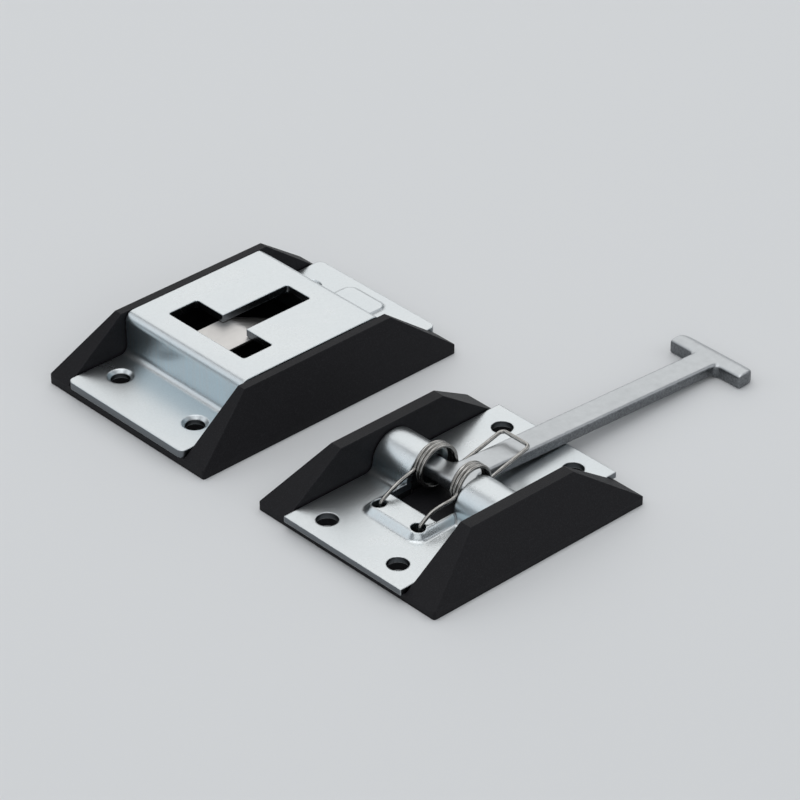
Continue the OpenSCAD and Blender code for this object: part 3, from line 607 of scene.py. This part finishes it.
def moulded_plastic(f):
    """Matte plastic with a fine moulded grain and edges rubbed lighter, partly as a painted highlight."""
    m = Finish("moulded_plastic", Specular_IOR_Level=0.18)
    cloud = m.use("mottle", "Value", Scale=55.0, Spread=0.22)
    grain = m.use("grain", "Height", Scale=2600.0, Fine=0.45)
    wear_and_highlight = m.use("edge wear", "Mask", Reach=0.0007, Break=700.0)
    body = m.mix(cloud, f.plastic, tone(f.plastic, 1.35))
    body = m.mix(m.span(grain, 0.0, 0.55, 0.5, 0.68), body, f.plastic_fleck_and_highlight)
    # Edges rubbed lighter, partly as a painted highlight.
    return m.feed(Base_Color=m.mix(m.span(wear_and_highlight, 0.0, 0.6), body, f.plastic_fleck_and_highlight),
                  Roughness=m.span(cloud, 0.50, 0.60),
                  Normal=m.bump(grain, distance=0.00012, strength=0.55))


def upright_share(m, start, end):
    """How upright the surface stands, from the height of its normal, up or down: 0 from start on, 1 below end."""
    where = put(m.tree, "ShaderNodeTexCoord")
    split = put(m.tree, "ShaderNodeSeparateXYZ")
    steep = put(m.tree, "ShaderNodeMath", operation="ABSOLUTE")
    m.tree.links.new(where.outputs["Normal"], split.inputs[0])
    m.tree.links.new(split.outputs["Z"], steep.inputs[0])
    return m.span(steep.outputs[0], 0.0, 1.0, start, end)


def zinc_sheet(f, name, cut):
    """Bright zinc on stamped sheet, from the flat faces to the upright ones.

    Satin, with fine lines along the strip. Flat faces are nearly white, upright faces take a painted bluish
    reflection, sheared edges are dull and darkened further as a painted dark reflection, creases take painted
    shade, and outer edges are rubbed bright, partly as a painted highlight.
    """
    m = Finish(name, Metallic=1.0)
    cloud = m.use("mottle", "Value", Scale=34.0, Spread=0.26)
    lines = m.use("streaks", "Height", Scale=1400.0, Stretch=0.025)
    grain = m.use("grain", "Height", Scale=1300.0, Fine=0.5)
    wear_and_highlight = m.use("edge wear", "Mask", Reach=0.0005, Break=500.0)
    sheared = m.use("cut edge", "Mask", **cut)
    painted_crease_shade = m.use("painted_crease_shade", "Mask", Reach=0.0008)
    specks = m.span(m.use("mottle", "Value", Scale=420.0, Spread=0.3), 0.0, 1.0, 0.93, 1.0)
    upright_reflection = upright_share(m, start=0.85, end=0.2)
    body = m.mix(m.span(cloud, 0.0, 0.35), f.zinc, f.zinc_blue)
    # Painted reflection: upright faces tinted bluish along the streaks.
    body = m.mix(m.times(upright_reflection, m.span(lines, 0.6, 1.0, 0.35, 0.65)), body, f.zinc_upright_reflection)
    body = m.mix(m.span(grain, 0.0, 0.22, 0.4, 0.7), body, tone(f.zinc, 0.7))
    body = m.mix(m.span(specks, 0.0, 0.4), body, tone(f.zinc, 0.4))
    # Painted shade: creases darkened towards the dark edge colour.
    body = m.mix(m.span(painted_crease_shade, 0.0, 0.7), body, f.zinc_cut_and_shade)
    # Sheared edges: dull cut steel, darkened further as a painted dark reflection.
    body = m.mix(m.span(sheared, 0.0, 0.9), body, f.zinc_cut_and_shade)
    soft = put(m.tree, "ShaderNodeBevel", samples=6, Radius=f.sheet_round)
    under = m.bump(lines, distance=0.00002, strength=0.05, under=soft.outputs["Normal"])
    # Edges rubbed lighter, partly as a painted highlight.
    return m.feed(Base_Color=m.mix(m.span(wear_and_highlight, 0.0, 0.6), body, tone(f.zinc, 1.12)),
                  Roughness=m.span(cloud, 0.23, 0.34),
                  Normal=m.bump(grain, distance=0.00004, strength=0.8, under=under))


def cast_zinc(f):
    """Zinc on the cast bar: satin and faintly uneven on top, dull, grainy and painted darker as shade down its
    sides.
    """
    m = Finish("cast_zinc", Metallic=1.0)
    cloud = m.use("mottle", "Value", Scale=48.0, Spread=0.25)
    patch = m.use("mottle", "Value", Scale=420.0, Spread=0.3)
    grain = m.use("grain", "Height", Scale=1700.0, Fine=0.4)
    wear_and_highlight = m.use("edge wear", "Mask", Reach=0.0008, Break=420.0)
    painted_crease_shade = m.use("painted_crease_shade", "Mask", Reach=0.0012)
    # Share of upright sides: they get rougher zinc, more grain and painted shade.
    upright_sides = upright_share(m, start=0.9, end=0.45)
    body = m.mix(m.span(cloud, 0.0, 0.12), f.bar_zinc, f.bar_dull_and_shade)
    body = m.mix(m.span(patch, 0.0, 0.2), body, f.bar_dull_and_shade)
    # Painted shade: upright sides darkened through the grain.
    body = m.mix(m.times(upright_sides, m.span(grain, 0.65, 1.0, 0.35, 0.65)), body, f.bar_dull_and_shade)
    # Painted shade: creases darkened towards the darker cast colour.
    body = m.mix(m.span(painted_crease_shade, 0.0, 0.5), body, f.bar_dull_and_shade)
    under = m.bump(patch, distance=0.00004, strength=0.3)
    skin = m.times(m.span(upright_sides, 0.25, 1.0), grain)
    # Edges rubbed lighter, partly as a painted highlight.
    return m.feed(Base_Color=m.mix(m.span(wear_and_highlight, 0.0, 0.75), body, tone(f.bar_zinc, 1.3)),
                  Roughness=m.span(m.times(upright_sides, cloud), 0.32, 0.5),
                  Normal=m.bump(skin, distance=0.00012, strength=0.5, under=under))


def along_uv(m, stretch):
    """Lines that follow a piece's own map: noise that is long in U and short in V."""
    where = put(m.tree, "ShaderNodeUVMap", uv_map="along")
    place = put(m.tree, "ShaderNodeVectorMath", operation="MULTIPLY")
    place.inputs[1].default_value = stretch
    lines = put(m.tree, "ShaderNodeTexNoise", Scale=1.0, Detail=3.0, Roughness=0.6)
    m.tree.links.new(where.outputs["UV"], place.inputs[0])
    m.tree.links.new(place.outputs[0], lines.inputs["Vector"])
    return lines.outputs["Fac"]


def spring_wire(f):
    """Drawn wire: warm grey steel with fine lines along its length."""
    m = Finish("spring_wire", Metallic=1.0)
    lines = along_uv(m, (0.35, 26.0, 1.0))
    cloud = m.use("mottle", "Value", Scale=160.0, Spread=0.25)
    body = m.mix(m.span(lines, 0.0, 1.0, 0.38, 0.66), f.wire_dark, f.wire)
    return m.feed(Base_Color=m.mix(m.span(cloud, 0.0, 0.3), body, f.wire_dark),
                  Roughness=m.span(lines, 0.30, 0.18, 0.3, 0.7),
                  Normal=m.bump(lines, distance=0.00004, strength=0.35))


def leaf_steel(f):
    """Spring steel of the leaf: warm pale grey, brushed along its length."""
    m = Finish("leaf_steel", Metallic=1.0)
    lines = along_uv(m, (0.5, 160.0, 1.0))
    cloud = m.use("mottle", "Value", Scale=90.0, Spread=0.25)
    wear_and_highlight = m.use("edge wear", "Mask", Reach=0.0004, Break=600.0)
    body = m.mix(m.span(cloud, 0.0, 0.6), f.leaf, f.leaf_dark)
    # Edges rubbed lighter, partly as a painted highlight.
    return m.feed(Base_Color=m.mix(m.span(wear_and_highlight, 0.0, 0.6), body, tone(f.leaf, 1.15)),
                  Roughness=m.span(lines, 0.46, 0.34, 0.3, 0.7),
                  Normal=m.bump(lines, distance=0.00003, strength=0.3))


def pale_floor(f):
    """Plain pale floor with the faintest unevenness."""
    m = Finish("pale_floor", Roughness=0.7, Specular_IOR_Level=0.2)
    cloud = m.use("mottle", "Value", Scale=3.0, Spread=0.3)
    return m.feed(Base_Color=m.mix(m.span(cloud, 0.0, 0.25), f.floor, tone(f.floor, 0.97)))


def finish_of(name, maker, f):
    """The finish by name, made the first time it is asked for."""
    return bpy.data.materials.get(name) or maker(f)


def smooth_faces():
    """Modifier steps that shade a piece smooth up to its sharp folds, and leave the given mesh alone."""
    tree = bpy.data.node_groups.get("smooth faces")
    if tree:
        return tree
    tree = bpy.data.node_groups.new("smooth faces", "GeometryNodeTree")
    for way in ("INPUT", "OUTPUT"):
        tree.interface.new_socket("Geometry", in_out=way, socket_type="NodeSocketGeometry")
    given = tree.nodes.new("NodeGroupInput")
    faces = tree.nodes.new("GeometryNodeSetShadeSmooth")
    folds = tree.nodes.new("GeometryNodeSetShadeSmooth")
    folds.domain = "EDGE"
    folds.inputs["Shade Smooth"].default_value = False
    angle = tree.nodes.new("GeometryNodeInputMeshEdgeAngle")
    sharp = tree.nodes.new("FunctionNodeCompare")
    sharp.inputs[1].default_value = SHARP_FOLD
    result = tree.nodes.new("NodeGroupOutput")
    tree.links.new(angle.outputs["Unsigned Angle"], sharp.inputs[0])
    tree.links.new(sharp.outputs["Result"], folds.inputs["Selection"])
    tree.links.new(given.outputs["Geometry"], faces.inputs["Geometry"])
    tree.links.new(faces.outputs["Geometry"], folds.inputs["Geometry"])
    tree.links.new(folds.outputs["Geometry"], result.inputs["Geometry"])
    return tree


def soften(name, material, width=0.0):
    """Gives a solid its finish: doubles welded, edges rounded where a width is given, normals by face area."""
    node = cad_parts[name]
    node.data.materials.clear()
    node.data.materials.append(material)
    weld = node.modifiers.new("weld", "WELD")
    weld.merge_threshold = SHEET_WELD
    flat = node.modifiers.new("flat faces", "DECIMATE")
    flat.decimate_type = "DISSOLVE"
    flat.angle_limit = FLAT_FOLD
    if width:
        edge = node.modifiers.new("soft edges", "BEVEL")
        edge.width = width
        edge.segments = ROUND_STEPS
        edge.limit_method = "ANGLE"
        edge.angle_limit = ROUND_FOLD[name]
        edge.use_clamp_overlap = True
    smooth = node.modifiers.new("smooth faces", "NODES")
    smooth.node_group = smooth_faces()
    shade = node.modifiers.new("even normals", "WEIGHTED_NORMAL")
    shade.keep_sharp = True


def cast_skin(name, material, face_size, passes):
    """Gives a solid its finish and the rolled edges of a casting: an even fine skin, relaxed many times."""
    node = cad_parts[name]
    node.data.materials.clear()
    node.data.materials.append(material)
    weld = node.modifiers.new("weld", "WELD")
    weld.merge_threshold = CAST_WELD
    skin = node.modifiers.new("even skin", "REMESH")
    skin.mode = "VOXEL"
    skin.voxel_size = face_size
    skin.use_smooth_shade = True
    relax = node.modifiers.new("rolled edges", "SMOOTH")
    relax.factor = RELAX_SHARE
    relax.iterations = passes


def area_light(name, place, size, power, tint):
    """A soft square lamp that looks at the middle of the part."""
    lamp = bpy.data.lights.new(name, "AREA")
    lamp.size = size
    lamp.energy = power
    lamp.color = tint
    made = bpy.data.objects.new(name, lamp)
    made.location = place
    made.rotation_mode = "QUATERNION"
    made.rotation_quaternion = (Vector(LAMP_AIM) - Vector(place)).to_track_quat("-Z", "Y")
    bpy.context.scene.collection.objects.link(made)


# Operators

class HOLDER_OT_stage(bpy.types.Operator):
    """Floor, soft light and the camera at the photograph's viewing angle"""

    bl_idname = "holder.stage"
    bl_label = "Stage"

    def execute(self, context):
        s = context.scene.holder_stage
        h = s.floor_half
        mesh = bpy.data.meshes.new("floor")
        corners = np.array([[-h, -h], [h, -h], [h, h], [-h, h]])
        low = np.full((4, 1), -FLOOR_DROP)
        mesh.from_pydata(np.hstack([corners, low]).tolist(), [], [[0, 1, 2, 3]])
        mesh.materials.append(pale_floor(context.scene.holder_finishes))
        floor = bpy.data.objects.new("floor", mesh)
        context.scene.collection.objects.link(floor)
        world = bpy.data.worlds.new("studio")
        world.use_nodes = True
        sky = world.node_tree.nodes["Background"]
        sky.inputs["Color"].default_value = SKY_TINT
        sky.inputs["Strength"].default_value = s.sky
        context.scene.world = world
        for name, (place, size, power, tint) in LAMPS.items():
            area_light(name, place, size, power, tint)
        lens = bpy.data.cameras.new("camera")
        lens.lens = s.lens
        lens.sensor_width = s.sensor
        lens.clip_end = FAR_CLIP
        camera = bpy.data.objects.new("camera", lens)
        camera.location = s.camera
        camera.rotation_mode = "QUATERNION"
        camera.rotation_quaternion = (Vector(s.target) - Vector(s.camera)).to_track_quat("-Z", "Y")
        context.scene.collection.objects.link(camera)
        context.scene.camera = camera
        context.scene.view_settings.view_transform = "Standard"
        return {"FINISHED"}


class HOLDER_OT_frames(bpy.types.Operator):
    """Moulded plastic on the two frames"""

    bl_idname = "holder.frames"
    bl_label = "Moulded frames"

    def execute(self, context):
        f = context.scene.holder_finishes
        plastic = finish_of("moulded_plastic", moulded_plastic, f)
        soften("hook_frame", plastic, f.mould_edge)
        soften("keeper_frame", plastic, f.mould_edge)
        return {"FINISHED"}


class HOLDER_OT_plates(bpy.types.Operator):
    """Bright zinc on the hinge plate and the hat plate"""

    bl_idname = "holder.plates"
    bl_label = "Zinc plates"

    def execute(self, context):
        f = context.scene.holder_finishes
        hinge_cut = {"Low": f.hinge_sheet_top, "Middle": 0.0, "Half": 0.0}
        hat_cut = {"Low": f.flange_top, "Middle": f.slot_middle, "Half": f.slot_half}
        soften("hook_plate", zinc_sheet(f, "zinc_hook_plate", hinge_cut))
        soften("keeper_plate", zinc_sheet(f, "zinc_keeper_plate", hat_cut), f.sheet_edge)
        return {"FINISHED"}


class HOLDER_OT_bar(bpy.types.Operator):
    """Cast zinc on the T-bar"""

    bl_idname = "holder.bar"
    bl_label = "T-bar"

    def execute(self, context):
        f = context.scene.holder_finishes
        cast_skin("t_bar", finish_of("cast_zinc", cast_zinc, f), f.cast_skin, f.cast_passes)
        return {"FINISHED"}


class HOLDER_OT_spring(bpy.types.Operator):
    """Double torsion spring in one wire"""

    bl_idname = "holder.spring"
    bl_label = "Torsion spring"

    def execute(self, context):
        s = context.scene.holder_spring
        rings, share = wire_rings(s)
        spring = ring_surface("spring_wire_double", rings, 1 / s.wire_d)
        spring.data.materials.append(spring_wire(context.scene.holder_finishes))
        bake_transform(spring)
        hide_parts("torsion_spring")
        return {"FINISHED"}


class HOLDER_OT_leaf(bpy.types.Operator):
    """Leaf spring under the slot, shaped with a crest, a ramp and a tail"""

    bl_idname = "holder.leaf"
    bl_label = "Leaf spring"

    def execute(self, context):
        s = context.scene.holder_leaf
        leaf = ring_surface("leaf_spring", leaf_rings(s), 1 / s.width)
        leaf.data.materials.append(leaf_steel(context.scene.holder_finishes))
        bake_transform(leaf)
        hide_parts("keeper_leaf")
        return {"FINISHED"}


class HOLDER_PT_panel(bpy.types.Panel):
    """Lists the pieces and the values that shape them"""

    bl_idname = "HOLDER_PT_panel"
    bl_label = "Door holder"
    bl_space_type = "VIEW_3D"
    bl_region_type = "UI"
    bl_category = "Door holder"

    def draw(self, context):
        for operator in OPERATORS:
            self.layout.operator(operator.bl_idname)
        for label in GROUPS:
            group = getattr(context.scene, label)
            box = self.layout.box()
            for key in group.bl_rna.properties.keys():
                if key not in ("rna_type", "name"):
                    box.prop(group, key)


GROUPS = {"holder_spring": SpringSizes, "holder_leaf": LeafSizes,
          "holder_finishes": Finishes, "holder_stage": StageSizes}
OPERATORS = (HOLDER_OT_stage, HOLDER_OT_frames, HOLDER_OT_plates, HOLDER_OT_bar, HOLDER_OT_spring, HOLDER_OT_leaf)
CLASSES = (*GROUPS.values(), *OPERATORS, HOLDER_PT_panel)


def register():
    """Registers the classes and gives the scene its property groups."""
    for kind in CLASSES:
        bpy.utils.register_class(kind)
    for label, kind in GROUPS.items():
        setattr(bpy.types.Scene, label, PointerProperty(type=kind))


def unregister():
    """Takes the property groups and the classes away again."""
    for label in GROUPS:
        delattr(bpy.types.Scene, label)
    for kind in reversed(CLASSES):
        bpy.utils.unregister_class(kind)


def main():
    """Builds the stage and every piece in order."""
    register()
    for operator in OPERATORS:
        group, call = operator.bl_idname.split(".")
        getattr(getattr(bpy.ops, group), call)()


if __name__ == "__main__":
    main()
